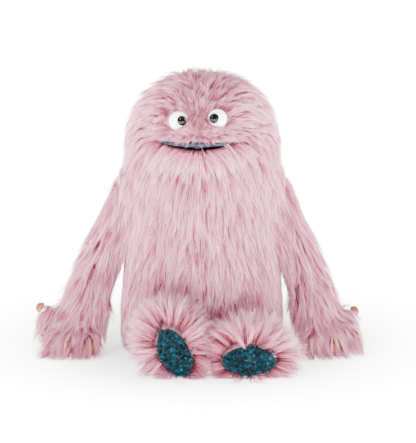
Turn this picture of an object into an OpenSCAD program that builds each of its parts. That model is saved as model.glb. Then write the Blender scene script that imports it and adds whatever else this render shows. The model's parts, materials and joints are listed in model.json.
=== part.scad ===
// Hand puppet with a moving mouth, sitting on a flat surface. Millimetres.
// +X is the puppet's left, -Y is its front, +Z is up. The origin is the middle of the sleeve's
// opening, on the surface that the puppet sits on.

/* [Body] */
// Height of the seated puppet over its fur
body_h = 366; // [340:1:390]
// Width over the hips
hip_w = 210; // [200:1:216]
// Width at the chest
chest_w = 188; // [180:1:194]
// Width of the head at the mouth
head_w = 192; // [184:1:198]
// Depth of the belly in front of the body's middle
belly_front = 100; // [96:1:104]
// Depth of the back behind the body's middle
back_depth = 94; // [90:1:98]
// Thickness of the fur and its backing
pile = 12; // [9:0.5:13]

/* [Mouth] */
// Height of the mouth fold above the surface
hinge_z = 287; // [280:1:292]
// Width of the mouth
mouth_w = 98; // [80:1:104]
// Sideways place of the middle of the face
face_x = -5; // [-8:1:0]
// Half of the angle that the mouth rests open at
lip_gap = 3; // [2.6:0.1:3.6]
// Thickness of each mouth board
board_t = 2.4; // [1.5:0.1:3]
// Furthest tilt of the head
head_tilt = 30; // [10:1:32]
// Furthest drop of the chin
jaw_drop = 30; // [10:1:32]
// Height of the chin, as an angle at the fold
chin_angle = 25; // [20:1:27]

/* [Eyes] */
// Diameter of an eye
eye_d = 24; // [20:0.5:26]
// Distance between the eyes
eye_gap = 50; // [44:1:56]
// Height of the eyes above the surface
eye_z = 321; // [318:1:327]
// How far the left eye sits above the middle height, and the right eye below it
eye_step = 1.5; // [0:0.1:2]
// Diameter of a pupil
pupil_d = 12.6; // [10:0.2:14]

/* [Arm channel] */
// Inside radius of the sleeve
sleeve_r = 43; // [38:1:44]
// Distance of the sleeve's axis behind the body's middle
sleeve_back = 25; // [22:1:27]
// Height of the sleeve's top
sleeve_top = 205; // [180:1:210]

/* [Limbs] */
// Radius of an arm over its fur, above the hand
arm_r = 27; // [25:0.5:28]
// Radius of an arm over its fur, at the shoulder
shoulder_r = 24; // [22:0.5:25]
// Radius of a leg over its fur
leg_r = 27; // [24:0.5:28]
// Height of the shoulder seams
shoulder_z = 214; // [206:1:220]
// Height of the hip seams
hip_z = 36; // [34:1:40]
// Thickness of a nail
nail_t = 3.5; // [2.5:0.1:4]
// Radius of a nail
nail_r = 6.5; // [5:0.5:7]

/* [Hidden] */
SIDES = 36;
BALL = 22;
FIT = 0.3;
CLEAR = 1.5;
BIG = 300;
PANEL = 3;
CLOTH = 1.4;
BODY_Y = -sleeve_back;
LAP_Y = BODY_Y - 36;
LAP_Z = 90;
LAP_W = 172;
HIP_Y = BODY_Y - 66;
JAW_R = 96;
SOLE_Y = BODY_Y - 164;
SOLE_T = 7;

// Outline of the body as [height, half width, front depth, back depth]
OUTLINE = [
    [0, 0.46 * hip_w, 0.8 * belly_front, 0.86 * back_depth],
    [0.10 * body_h, 0.5 * hip_w, 0.96 * belly_front, 0.96 * back_depth],
    [0.25 * body_h, 0.49 * hip_w, belly_front, back_depth],
    [0.41 * body_h, 0.51 * chest_w, 0.96 * belly_front, 0.98 * back_depth],
    [0.57 * body_h, 0.5 * chest_w, 0.91 * belly_front, 0.9 * back_depth],
    [0.73 * body_h, 0.5 * head_w, 0.9 * belly_front, 0.84 * back_depth],
    [0.84 * body_h, 0.46 * head_w, 0.85 * belly_front, 0.74 * back_depth],
    [0.92 * body_h, 0.39 * head_w, 0.7 * belly_front, 0.6 * back_depth],
    [0.965 * body_h, 0.29 * head_w, 0.5 * belly_front, 0.44 * back_depth],
    [0.99 * body_h, 0.17 * head_w, 0.3 * belly_front, 0.27 * back_depth],
    [body_h, 0.04 * head_w, 0.07 * belly_front, 0.07 * back_depth]
];

// Each limb point is [x, y, z]; side 1 is the puppet's left, side -1 its right
function shoulder(side) = [side * 93, BODY_Y, shoulder_z];
function wrist(side) = [side == 1 ? 144 : -150, BODY_Y - 10, 64];
function palm(side) = [side == 1 ? 156 : -162, BODY_Y - 16, 27];
function hip(side) = side == 1 ? [52, HIP_Y, hip_z] : [-41, HIP_Y, hip_z];
function foot(side) = side == 1 ? [60, BODY_Y - 136, 28] : [-35, BODY_Y - 136, 39];
function foot_size(side) = side == 1 ? [47, 28] : [39, 39];
function foot_roll(side) = side == 1 ? 0 : 25;
function eye_x(side) = face_x + side * eye_gap / 2;

// Finger tips measured from the palm, as [along x outwards, y, z, tip radius]
function fingers(side) = side == 1
    ? [[28, 8, 16, 12], [30, -15, -4, 12], [12, -26, -12, 13], [-10, -27, -12, 13]]
    : [[34, 8, 21, 12], [24, -25, -14, 12], [8, -28, -12, 13], [-13, -26, -12, 13]];

function hermite(a, b, c, d, t) =
    b + 0.5 * t * (c - a + t * (2 * a - 5 * b + 4 * c - d + t * (3 * (b - c) + d - a)));
function pick(i) = OUTLINE[max(0, min(len(OUTLINE) - 1, i))];
STEPS = 2;
RINGS = [for (i = [0 : len(OUTLINE) - 2], s = [0 : STEPS - 1])
    hermite(pick(i - 1), pick(i), pick(i + 1), pick(i + 2), s / STEPS)];
STATIONS = concat(RINGS, [OUTLINE[len(OUTLINE) - 1]]);

function ring_point(st, t, k) =
    let(a = 360 * k / SIDES, w = max(1, st[1] - t))
    let(depth = max(1, (sin(a) < 0 ? st[2] : st[3]) - t))
    [w * cos(a), BODY_Y + sin(a) * depth, st[0] * (body_h - t) / body_h];

// The whole body from seat to crown, drawn in by t all round
module bag(t = 0) {
    n = len(STATIONS);
    points = [for (st = STATIONS, k = [0 : SIDES - 1]) ring_point(st, t, k)];
    walls = [for (i = [0 : n - 2], k = [0 : SIDES - 1])
        let(a = i * SIDES + k, b = i * SIDES + (k + 1) % SIDES)
        [a, a + SIDES, b + SIDES, b]];
    base = [for (k = [0 : SIDES - 1]) k];
    crown = [for (k = [SIDES - 1 : -1 : 0]) (n - 1) * SIDES + k];
    polyhedron(points, concat([base], walls, [crown]), convexity = 6);
}

// A wedge about the mouth fold, from angle a0 to a1 measured upwards from straight ahead
module wedge(a0, a1, width = BIG, r = BIG) {
    rim = [for (i = [0 : 8]) let(a = a0 + (a1 - a0) * i / 8) [r * cos(a), r * sin(a)]];
    translate([face_x - width / 2, BODY_Y, hinge_z])
        rotate([90, 0, 0]) rotate([0, -90, 0]) mirror([0, 0, 1])
        linear_extrude(width) polygon(concat([[0, 0]], rim));
}

module slab(z0, z1) translate([-BIG, -BIG, z0]) cube([2 * BIG, 2 * BIG, z1 - z0]);
module front_half() translate([-BIG, BODY_Y - BIG - FIT / 2, 0]) cube([2 * BIG, BIG, 2 * BIG]);
module back_half() translate([-BIG, BODY_Y + FIT / 2, 0]) cube([2 * BIG, BIG, 2 * BIG]);

// ---- limbs, each drawn in by t ----

module ball(p, r) translate(p) sphere(r, $fn = BALL);

module arm_form(side, t = 0) {
    hull() {
        ball(shoulder(side), shoulder_r - t);
        ball(wrist(side), arm_r - t);
    }
}

module leg_form(side, t = 0) {
    ankle = hip(side) + 0.62 * (foot(side) - hip(side));
    hull() {
        ball(hip(side), leg_r - t);
        ball(ankle, min(leg_r, foot(side)[2]) - t);
    }
}

// A foot is a rounded form that is flat in front, where the sole sits
module foot_form(side, t = 0) {
    size = foot_size(side);
    reach = size[0] - size[1];
    intersection() {
        hull() {
            for (x = [-reach, reach]) {
                ball(foot(side) + [x, -8, 0], size[1] - t);
                ball(foot(side) + [x, 18, 0], size[1] - 5 - t);
            }
        }
        translate([-BIG, SOLE_Y + t, -BIG]) cube([2 * BIG, BIG, 2 * BIG]);
    }
}

module finger_form(side, i, t = 0) {
    f = fingers(side)[i];
    tip = palm(side) + [side * f[0], f[1], f[2]];
    hull() {
        ball(palm(side) + [side * f[0] * 0.3, f[1] * 0.3, 0], 20 - t);
        ball([tip[0], tip[1], max(tip[2], f[3] + 0.2)], f[3] - t);
    }
}

module palm_form(side, t = 0) {
    hull() {
        ball(palm(side), 26 - t);
        ball(wrist(side), arm_r - 3 - t);
    }
}

module hand_form(side, t = 0) {
    palm_form(side, t);
    for (i = [0 : 3]) finger_form(side, i, t);
}

// Turns its children so that their +Z points out of finger i, and puts them at its tip
module at_finger_tip(side, i) {
    f = fingers(side)[i];
    tip = palm(side) + [side * f[0], f[1], f[2]];
    lean = i == 0 ? 60 : 78;
    heading = atan2(f[1], side * f[0]);
    translate([tip[0], tip[1], max(tip[2], f[3] + 0.2)])
        rotate([0, 0, heading]) rotate([0, lean, 0]) translate([0, 0, f[3] - 1.5]) children();
}

module nail_form(grow = 0) {
    translate([0, 0, -grow]) cylinder(nail_t + grow, nail_r + grow, nail_r + grow, $fn = 32);
}

// ---- hollows left in the body ----

module lap(t = 0) {
    translate([face_x - LAP_W / 2 + 10 - t, -BIG + LAP_Y + t, -1])
        cube([LAP_W + 2 * t, BIG, LAP_Z + 1 + t]);
}

module arm_room(t = 0) {
    for (side = [-1, 1]) arm_form(side, -CLEAR - t);
}

module jaw_room(t = 0) {
    wedge(-chin_angle - jaw_drop - 3, 0.1, mouth_w + 10 + 2 * t, JAW_R + 4 + t);
}

module nape_room() {
    wedge(180 - 0.5, 180 + head_tilt + 1);
}

module torso_form(t = 0) {
    difference() {
        bag(t);
        lap(t);
        arm_room(t);
    }
}

module torso_shell() {
    intersection() {
        difference() {
            torso_form();
            torso_form(pile);
            jaw_room();
            nape_room();
            translate([face_x - mouth_w / 2 - 5, -BIG, 225]) cube([mouth_w + 10, BIG, 100]);
            cylinder(13, sleeve_r + 4 + FIT, sleeve_r + 4 + FIT, $fn = 64);
        }
        slab(PANEL + FIT, hinge_z - 0.8);
    }
}

// ---- torso ----

module body_fur_front() color("#ddb0ba") intersection() { torso_shell(); front_half(); }
module body_fur_back() color("#d6a6b1") intersection() { torso_shell(); back_half(); }

module throat_fur() {
    color("#cf99a5") intersection() {
        difference() {
            bag(0.5);
            bag(pile - 3);
        }
        translate([face_x - mouth_w / 2 - 2, -BIG, 226]) cube([mouth_w + 4, BIG, 18]);
        difference() {
            slab(0, BIG);
            wedge(-chin_angle - 0.5, 0);
        }
    }
}

module nape_fur() {
    color("#cf99a5") intersection() {
        difference() {
            bag(0.5);
            bag(pile - 3);
        }
        wedge(180 + 1.5, 180 + head_tilt - 1);
    }
}

module seat_panel() {
    color("#b98a95") intersection() {
        difference() {
            bag(1);
            lap(1);
            translate([0, 0, -1]) cylinder(PANEL + 2, sleeve_r + 5, sleeve_r + 5, $fn = 64);
        }
        slab(0, PANEL);
    }
}

module sleeve_lining() {
    color("#8f7d86") difference() {
        translate([0, 0, 12]) cylinder(sleeve_top - 12, sleeve_r + CLOTH, sleeve_r + CLOTH, $fn = 64);
        translate([0, 0, 11]) cylinder(sleeve_top, sleeve_r, sleeve_r, $fn = 64);
    }
}

module sleeve_hem() {
    color("#6f5f68") difference() {
        cylinder(12 - FIT, sleeve_r + 4, sleeve_r + 4, $fn = 64);
        translate([0, 0, -1]) cylinder(14, sleeve_r, sleeve_r, $fn = 64);
    }
}

module pellet_form(side, t = 0) {
    hull() for (y = [-9, 30], z = [20, 34])
        ball([side * 64, BODY_Y + y, z], 12 - t);
}

module body_stuffing() {
    color("ivory") intersection() {
        difference() {
            torso_form(pile + FIT);
            translate([0, 0, -1]) cylinder(BIG, sleeve_r + 4.5, sleeve_r + 4.5, $fn = 64);
            for (side = [-1, 1]) pellet_form(side, -FIT);
        }
        slab(PANEL + 2 * FIT, 190);
    }
}

module pellet_bag(side) color("#c9bda6") pellet_form(side);

// ---- head ----

// Everything of the head, drawn in by t, above the mouth and the nape
module head_form(t = 0) {
    difference() {
        intersection() {
            bag(t);
            slab(hinge_z + 0.2, BIG * 2);
        }
        wedge(-1, lip_gap, mouth_w + 3);
        mouth_plates(1, grow = FIT);
    }
}

// The plates of one jaw lie flat in the mouth's plane, turned by the lip gap about the fold
module mouth_plates(up, grow = 0, from = 0, to = board_t + CLOTH + FIT) {
    translate([face_x, BODY_Y, hinge_z]) rotate([-up * lip_gap, 0, 0])
        translate([0, 0, up == 1 ? from - (grow > 0 ? 3 : 0) : -to - grow])
        linear_extrude(to - from + grow + (grow > 0 ? 3 : 0)) mouth_outline(grow);
}

// A D-shaped plate: straight at the fold and round at the lips
module mouth_outline(grow = 0) {
    r = mouth_w / 2 + grow;
    intersection() {
        translate([-r, -BIG]) square([2 * r, BIG - 5 + grow]);
        translate([0, -87 + 75]) circle(75 + grow, $fn = 96);
    }
}

module at_eye(side) {
    translate([eye_x(side), BODY_Y - 70, eye_z + side * eye_step]) rotate([78, 0, side * 4])
        children();
}

module eye_room(grow = FIT) {
    for (side = [-1, 1]) at_eye(side) {
        cylinder(40, eye_d / 2 + grow, eye_d / 2 + grow, $fn = 48);
        translate([0, 0, -11]) cylinder(12, 2.5 + grow, 2.5 + grow, $fn = 24);
        translate([0, 0, -9.2]) cylinder(3.8, 9 + grow, 9 + grow, $fn = 36);
    }
}

module head_shell() {
    difference() {
        head_form();
        bag(pile);
        eye_room();
    }
}

module face_fur() color("#e0b4be") intersection() { head_shell(); front_half(); }
module head_back_fur() color("#d6a6b1") intersection() { head_shell(); back_half(); }

module muzzle_fur() {
    color("#c98f9b") difference() {
        hull() for (x = [-18, 18])
            translate([face_x + x, BODY_Y - 67, 313]) scale([1, 1, 0.85]) sphere(25, $fn = BALL);
        bag(-FIT);
        eye_room();
    }
}

// Flat pocket over the mouth, straight at its sides and round at its ends
module finger_pocket_form(grow = 0) {
    translate([face_x, BODY_Y - 8, hinge_z + 11 - grow]) linear_extrude(18 + 2 * grow)
        intersection() {
            circle(50 + grow, $fn = 72);
            square([64 + 2 * grow, 120], center = true);
        }
}

module hand_well(grow = 0) {
    translate([face_x - 32 - grow, BODY_Y + 4 - grow, hinge_z - 5])
        cube([64 + 2 * grow, 32 + 2 * grow, 30]);
}

module finger_pocket() {
    color("#8f7d86") difference() {
        finger_pocket_form(CLOTH);
        finger_pocket_form();
        hand_well();
    }
}

module head_stuffing() {
    color("ivory") difference() {
        intersection() {
            head_form(pile + FIT);
            slab(hinge_z + 3, BIG * 2);
        }
        finger_pocket_form(CLOTH + FIT);
        hand_well(CLOTH);
        eye_room();
        mouth_plates(1, grow = 2 * FIT);
    }
}

module upper_mouth_lining() color("#4a6478") mouth_plates(1, from = 0, to = CLOTH);
module upper_mouth_board() color("#40434a") mouth_plates(1, from = CLOTH + FIT);

module mouth_fold() {
    color("#2f3d4b") translate([face_x - mouth_w / 2 + 4, BODY_Y, hinge_z])
        rotate([0, 90, 0]) cylinder(mouth_w - 8, 2, 2, $fn = 24);
}

module eye_white(side) {
    color("white") at_eye(side) difference() {
        union() {
            cylinder(2.5, eye_d / 2, eye_d / 2, $fn = 48);
            intersection() {
                translate([0, 0, -2]) sphere(13, $fn = 48);
                translate([0, 0, 2.5]) cylinder(12, eye_d / 2, eye_d / 2, $fn = 48);
            }
        }
        pupil_seat(side) cylinder(12, pupil_d / 2 + 0.1, pupil_d / 2 + 0.1, $fn = 36);
    }
}

module pupil_seat(side) translate([-side * 4.8, 0.4, 4]) children();

module pupil(side) {
    color("black") at_eye(side) pupil_seat(side) {
        cylinder(5, pupil_d / 2, pupil_d / 2, $fn = 36);
        translate([0, 0, 5]) intersection() {
            translate([0, 0, -3.4]) sphere(7.16, $fn = 36);
            cylinder(6, pupil_d / 2, pupil_d / 2, $fn = 36);
        }
    }
}

module eye_washer(side) {
    color("gainsboro") at_eye(side) {
        translate([0, 0, -10]) cylinder(10 - FIT, 2.5, 2.5, $fn = 24);
        translate([0, 0, -8.5]) cylinder(2.5, 9, 9, $fn = 36);
    }
}

// ---- chin ----

module jaw_form(t = 0, width = mouth_w + 6) {
    intersection() {
        bag(t);
        wedge(-chin_angle, 0, width, JAW_R);
        translate([-BIG, BODY_Y - BIG - 24, 0]) cube([2 * BIG, BIG, 2 * BIG]);
        difference() {
            slab(0, BIG * 2);
            wedge(-lip_gap, 3);
            mouth_plates(-1, grow = FIT);
        }
    }
}

module chin_fur() {
    color("#ddb0ba") difference() {
        jaw_form();
        bag(pile);
    }
}

module thumb_pocket_form(grow = 0) {
    rotate_about_fold(lip_gap)
        translate([face_x - 15 - grow, BODY_Y - 60 - grow, hinge_z - 23 - grow])
        cube([30 + 2 * grow, 44 + 2 * grow, 17 + 2 * grow]);
}

module rotate_about_fold(a) {
    fold = [0, BODY_Y, hinge_z];
    translate(fold) rotate([a, 0, 0]) translate(-fold) children();
}

module thumb_pocket() {
    color("#8f7d86") difference() {
        thumb_pocket_form(CLOTH);
        thumb_pocket_form();
        translate([0, 10, 0]) thumb_pocket_form();
    }
}

module chin_stuffing() {
    color("ivory") difference() {
        jaw_form(pile + FIT, mouth_w);
        thumb_pocket_form(CLOTH + FIT);
    }
}

module lower_mouth_lining() color("#4a6478") mouth_plates(-1, from = 0, to = CLOTH);
module lower_mouth_board() color("#40434a") {
    translate([face_x, BODY_Y, hinge_z]) rotate([lip_gap, 0, 0])
        translate([0, 0, -CLOTH - FIT - board_t]) linear_extrude(board_t) mouth_outline();
}

// ---- arms and hands ----

module above_wrist(side, gap) {
    way = shoulder(side) - wrist(side);
    translate(wrist(side)) rotate([0, atan2(way[0], way[2]), 0])
        translate([-BIG, -BIG, 10 + gap]) cube([2 * BIG, 2 * BIG, BIG]);
}

module arm_part(side, t) {
    difference() {
        intersection() {
            arm_form(side, t);
            above_wrist(side, 0);
        }
        ball(wrist(side), arm_r - 3 + CLEAR);
    }
}

module arm_fur(side) {
    color("#ddb0ba") difference() {
        arm_part(side, 0);
        arm_form(side, pile - 3);
    }
}

module arm_stuffing(side) color("ivory") arm_part(side, pile - 3 + FIT);

module hand_fur(side) {
    color("#cf9ba7") difference() {
        hand_form(side);
        palm_form(side, pile - 4);
        for (i = [0 : 3]) at_finger_tip(side, i) nail_form(0.2);
    }
}

module hand_stuffing(side) color("ivory") palm_form(side, pile - 4 + FIT);

module nail(side, i) color("#cd9a2b") at_finger_tip(side, i) nail_form();

// ---- legs and feet ----

module leg_side(side, gap) {
    ankle_y = foot(side)[1] + 40;
    translate([-BIG, ankle_y + gap, -BIG]) cube([2 * BIG, BIG, 2 * BIG]);
}

module leg_fur(side) {
    color("#ddb0ba") intersection() {
        difference() {
            leg_form(side);
            leg_form(side, pile - 4);
        }
        leg_side(side, FIT);
    }
}

module foot_fur(side) {
    color("#cf9ba7") difference() {
        foot_form(side);
        foot_form(side, pile - 2);
        leg_form(side, pile - 4);
        leg_side(side, 0);
        at_sole(side) sole_form(side, 0.4);
    }
}

module leg_stuffing(side) {
    color("ivory") difference() {
        union() {
            leg_form(side, pile - 4 + FIT);
            foot_form(side, pile - 2 + FIT);
        }
        at_sole(side) sole_form(side, 0.4);
    }
}

module at_sole(side) {
    translate([foot(side)[0], SOLE_Y + 3, foot(side)[2]]) rotate([0, -foot_roll(side), 0]) children();
}

// An oval sole pad, 62 long and 34 wide, facing the front
module sole_form(side, grow = 0) {
    length = 62 + 2 * grow;
    width = 34 + 2 * grow;
    rotate([90, 0, 0]) rotate([0, 0, side == 1 ? 0 : 90])
        translate([0, 0, -grow]) linear_extrude(SOLE_T + 2 * grow) hull() {
            for (x = [-1, 1]) translate([x * (length - width) / 2, 0]) circle(width / 2, $fn = 40);
        }
}

module sole(side) color("#0f6470") at_sole(side) sole_form(side);

// ---- the list of parts ----

body_fur_front();
body_fur_back();
throat_fur();
nape_fur();
seat_panel();
sleeve_lining();
sleeve_hem();
body_stuffing();
pellet_bag(1);  // pellet_bag_left
pellet_bag(-1);  // pellet_bag_right
face_fur();
head_back_fur();
muzzle_fur();
head_stuffing();
finger_pocket();
upper_mouth_board();
upper_mouth_lining();
mouth_fold();
eye_white(1);  // eye_white_left
eye_white(-1);  // eye_white_right
pupil(1);  // pupil_left
pupil(-1);  // pupil_right
eye_washer(1);  // eye_washer_left
eye_washer(-1);  // eye_washer_right
chin_fur();
chin_stuffing();
thumb_pocket();
lower_mouth_board();
lower_mouth_lining();
arm_fur(1);  // arm_fur_left
arm_fur(-1);  // arm_fur_right
arm_stuffing(1);  // arm_stuffing_left
arm_stuffing(-1);  // arm_stuffing_right
hand_fur(1);  // hand_fur_left
hand_fur(-1);  // hand_fur_right
hand_stuffing(1);  // hand_stuffing_left
hand_stuffing(-1);  // hand_stuffing_right
nail(1, 0);  // thumb_nail_left
nail(1, 1);  // finger_nail_1_left
nail(1, 2);  // finger_nail_2_left
nail(1, 3);  // finger_nail_3_left
nail(-1, 0);  // thumb_nail_right
nail(-1, 1);  // finger_nail_1_right
nail(-1, 2);  // finger_nail_2_right
nail(-1, 3);  // finger_nail_3_right
leg_fur(1);  // leg_fur_left
leg_fur(-1);  // leg_fur_right
foot_fur(1);  // foot_fur_left
foot_fur(-1);  // foot_fur_right
leg_stuffing(1);  // leg_stuffing_left
leg_stuffing(-1);  // leg_stuffing_right
sole(1);  // sole_left
sole(-1);  // sole_right
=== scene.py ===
"""Looks of a seated long-pile fur puppet with a moving mouth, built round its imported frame."""
import json
import math

import bmesh
import bpy
import numpy as np
from mathutils import Matrix, Vector


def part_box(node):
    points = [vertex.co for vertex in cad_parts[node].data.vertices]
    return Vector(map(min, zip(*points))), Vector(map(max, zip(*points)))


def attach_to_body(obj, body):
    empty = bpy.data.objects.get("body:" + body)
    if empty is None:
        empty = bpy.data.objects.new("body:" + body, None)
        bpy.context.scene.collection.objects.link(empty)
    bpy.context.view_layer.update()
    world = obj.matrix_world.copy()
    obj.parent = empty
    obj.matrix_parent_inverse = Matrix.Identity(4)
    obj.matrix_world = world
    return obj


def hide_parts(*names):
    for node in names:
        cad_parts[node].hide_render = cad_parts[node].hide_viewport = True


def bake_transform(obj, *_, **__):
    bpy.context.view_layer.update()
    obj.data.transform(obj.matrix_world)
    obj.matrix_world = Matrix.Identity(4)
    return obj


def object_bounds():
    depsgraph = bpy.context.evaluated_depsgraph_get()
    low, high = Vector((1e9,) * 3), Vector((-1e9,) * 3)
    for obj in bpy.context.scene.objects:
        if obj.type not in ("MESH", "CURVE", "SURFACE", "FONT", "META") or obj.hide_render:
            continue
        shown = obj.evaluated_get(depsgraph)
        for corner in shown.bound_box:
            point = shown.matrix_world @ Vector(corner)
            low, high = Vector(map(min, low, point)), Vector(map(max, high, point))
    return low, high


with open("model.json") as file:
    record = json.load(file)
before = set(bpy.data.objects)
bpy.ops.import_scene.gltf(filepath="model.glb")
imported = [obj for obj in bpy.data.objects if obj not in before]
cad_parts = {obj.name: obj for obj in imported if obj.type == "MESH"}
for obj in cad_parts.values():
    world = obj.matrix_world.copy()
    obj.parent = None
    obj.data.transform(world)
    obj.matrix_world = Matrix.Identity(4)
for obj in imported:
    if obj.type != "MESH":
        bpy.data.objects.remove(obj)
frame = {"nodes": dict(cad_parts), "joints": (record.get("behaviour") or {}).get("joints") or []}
cad_box = [list(corner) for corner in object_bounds()]

MM = 0.001
rng = np.random.default_rng(7)
SIDES = {"left": 1, "right": -1}


def middle(node):
    """The middle of a CAD node's box."""
    lo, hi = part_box(node)
    return (np.array(lo) + np.array(hi)) / 2


def pivot(joint):
    return np.array(next(j["pos_m"] for j in frame["joints"] if j["name"] == joint))


def node_points(node):
    return np.array([v.co[:] for v in frame["nodes"][node].data.vertices])


def node_axes(node):
    """The directions in which a CAD node reaches least, then more, then most."""
    p = node_points(node)
    return np.linalg.eigh(np.cov((p - p.mean(0)).T))[1].T


def long_axis(node):
    way = node_axes(node)[2] * np.array([1, 0, 1])
    return way / np.linalg.norm(way)


def facing(node, away_from):
    """The direction that a flat node faces, pointing away from a place."""
    way = node_axes(node)[0]
    return way if way @ (middle(node) - away_from) > 0 else -way


def unit(v):
    return v / np.maximum(np.linalg.norm(v, axis=-1, keepdims=True), 1e-9)


def circle(count):
    """Even angles round a full turn."""
    return np.arange(count) / count * 2 * math.pi


def about_axis(p, centre, axis):
    """How far each point lies along an axis, and its offset and distance from it."""
    d = p - centre
    along = d @ axis
    across = d - along[:, None] * axis
    return along, across, np.linalg.norm(across, axis=1)


def give(over, soft):
    """How much of an overshoot is taken back, so that it never comes to more than soft."""
    return over - soft * (1 - np.exp(-over / soft))


def smooth(value, start, end):
    """0 before start, 1 past end and an even S between them."""
    t = np.clip((value - start) / (end - start), 0, 1)
    return t * t * (3 - 2 * t)


# ---- the puppet's measures

FOLD = pivot("head_tilt")
FACE_X = middle("upper_mouth_board")[0]
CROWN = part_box("face_fur")[1][2]
MOUTH_HALF = (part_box("upper_mouth_lining")[1][0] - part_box("upper_mouth_lining")[0][0]) / 2
LIP_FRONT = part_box("upper_mouth_lining")[0][1]
BACKING = 9 * MM  # from the outside of the CAD fur down to its cloth backing
DOME_Z = 0.73 * CROWN
DOME_POWER = 2.3
MOUTH_EDGE = 52 * MM
EYE_RADIUS = 12 * MM
PUPIL_RADIUS = 6.5 * MM
NAIL_RADIUS = 6.6 * MM
SLEEVE_HOLE = 48.5 * MM
MOUTH_ROUND = 75 * MM  # radius of the lips' curve as seen from above
FIELD_SCALE = 85 * MM  # turns body_field's shares of the outline into about metres
FLOOR_GAP = 1.2 * MM
HAIR_LOW = 0.4 * MM

# Outline over the CAD fur below the dome of the head: height, half width, front and back depth
OUTLINE = np.array([
    (0, 97, 80, 81),
    (37, 105, 96, 90),
    (92, 103, 100, 94),
    (150, 96, 96, 92),
    (209, 93, 91, 85),
    (267, 96, 90, 79),
]) * MM


def dense_outline(knots, steps=16):
    """A Catmull-Rom curve through the outline's rows."""
    rows = []
    last = len(knots) - 1
    for i in range(last):
        a, b, c, d = (knots[min(max(i + k, 0), last)] for k in (-1, 0, 1, 2))
        for t in np.arange(steps) / steps:
            bend = 2 * a - 5 * b + 4 * c - d + t * (3 * (b - c) + d - a)
            rows.append(b + 0.5 * t * (c - a + t * bend))
    rows.append(knots[-1])
    return np.array(rows)


CURVE = dense_outline(OUTLINE)


def outline_at(z):
    """Half width, front depth and back depth of the backing at height z."""
    z = np.clip(z, 0, DOME_Z)
    return [np.interp(z, CURVE[:, 0], CURVE[:, k]) - BACKING for k in (1, 2, 3)]


# ---- distance fields

def body_field(p):
    half, front, back = outline_at(p[:, 2])
    y = p[:, 1] - FOLD[1]
    depth = np.where(y < 0, front, back)
    across = (p[:, 0] / half) ** 2 + (y / depth) ** 2
    rise = np.clip((p[:, 2] - DOME_Z) / (CROWN - BACKING - DOME_Z), 0, None)
    return (across ** (DOME_POWER / 2) + rise ** DOME_POWER) ** (1 / DOME_POWER) - 1


def capsule_field(p, a, b, ra, rb):
    way = b - a
    t = np.clip((p - a) @ way / (way @ way), 0, 1)
    return np.linalg.norm(p - a - t[:, None] * way, axis=1) - (ra + (rb - ra) * t)


def join(a, b, k=8 * MM):
    """Smooth union of two fields."""
    h = np.clip(0.5 + 0.5 * (b - a) / k, 0, 1)
    return b + (a - b) * h - k * h * (1 - h)


class Limb:
    """Capsules joined into one soft form."""

    def __init__(self, parts, k=8 * MM):
        self.parts = parts
        self.k = k

    def __call__(self, p):
        total = capsule_field(p, *self.parts[0])
        for part in self.parts[1:]:
            total = join(total, capsule_field(p, *part), self.k)
        return total


class Foot:
    """An oval form with a flat front, where the sole sits."""

    def __init__(self, centre, long_half, short_half, depth, long_way, front):
        self.centre = centre
        self.size = np.array([long_half, depth, short_half])
        self.long_way = long_way
        self.front = front

    def local(self, p):
        d = p - self.centre
        c, s = self.long_way[0], self.long_way[2]
        return np.stack([c * d[:, 0] + s * d[:, 2], d[:, 1], c * d[:, 2] - s * d[:, 0]], axis=1)

    def __call__(self, p):
        q = np.abs(self.local(p) / self.size)
        oval = (q[:, 0] ** 2 + q[:, 2] ** 2) ** 1.5 + q[:, 1] ** 3
        body = (oval ** (1 / 3) - 1) * self.size[2]
        return np.maximum(body, self.front - p[:, 1])


def probe(field, p, eps=0.8 * MM):
    """Distance from the field's surface, and its outward normal."""
    grad = np.empty_like(p)
    for k in range(3):
        step = np.zeros(3)
        step[k] = eps
        grad[:, k] = (field(p + step) - field(p - step)) / (2 * eps)
    size = np.maximum(np.linalg.norm(grad, axis=1), 1e-6)
    return field(p) / size, grad / size[:, None]


SHOULDER = {s: pivot(f"shoulder_{s}") for s in SIDES}
WRIST = {s: pivot(f"wrist_{s}") for s in SIDES}
HIP = {s: pivot(f"hip_{s}") for s in SIDES}
NAILS = ["thumb_nail", "finger_nail_1", "finger_nail_2", "finger_nail_3"]
NAIL_AT = {s: [middle(f"{n}_{s}") for n in NAILS] for s in SIDES}
PALM = {s: np.array([WRIST[s][0] + 11 * MM * SIDES[s], WRIST[s][1] - 6 * MM, 27 * MM])
        for s in SIDES}
SOLE = {s: middle(f"sole_{s}") for s in SIDES}
SOLE_FRONT = min(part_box(f"sole_{s}")[0][1] for s in SIDES)
SOLE_HALF = (31 * MM, 17 * MM)
SOLE_LONG = {s: long_axis(f"sole_{s}") for s in SIDES}

ARM = {s: Limb([(SHOULDER[s], WRIST[s], 16 * MM, 18 * MM)]) for s in SIDES}


def hand_parts(s):
    palm = PALM[s]
    parts = [(WRIST[s], palm, 18 * MM, 20 * MM)]
    for nail in NAIL_AT[s]:
        tip = palm + (nail - palm) * 0.8
        tip[2] = max(tip[2], 8 * MM)
        parts.append((palm, tip, 15 * MM, 8 * MM))
    return parts


HAND = {s: Limb(hand_parts(s)) for s in SIDES}


def ankle(s):
    return HIP[s] + 0.6 * (SOLE[s] - HIP[s])


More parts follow.
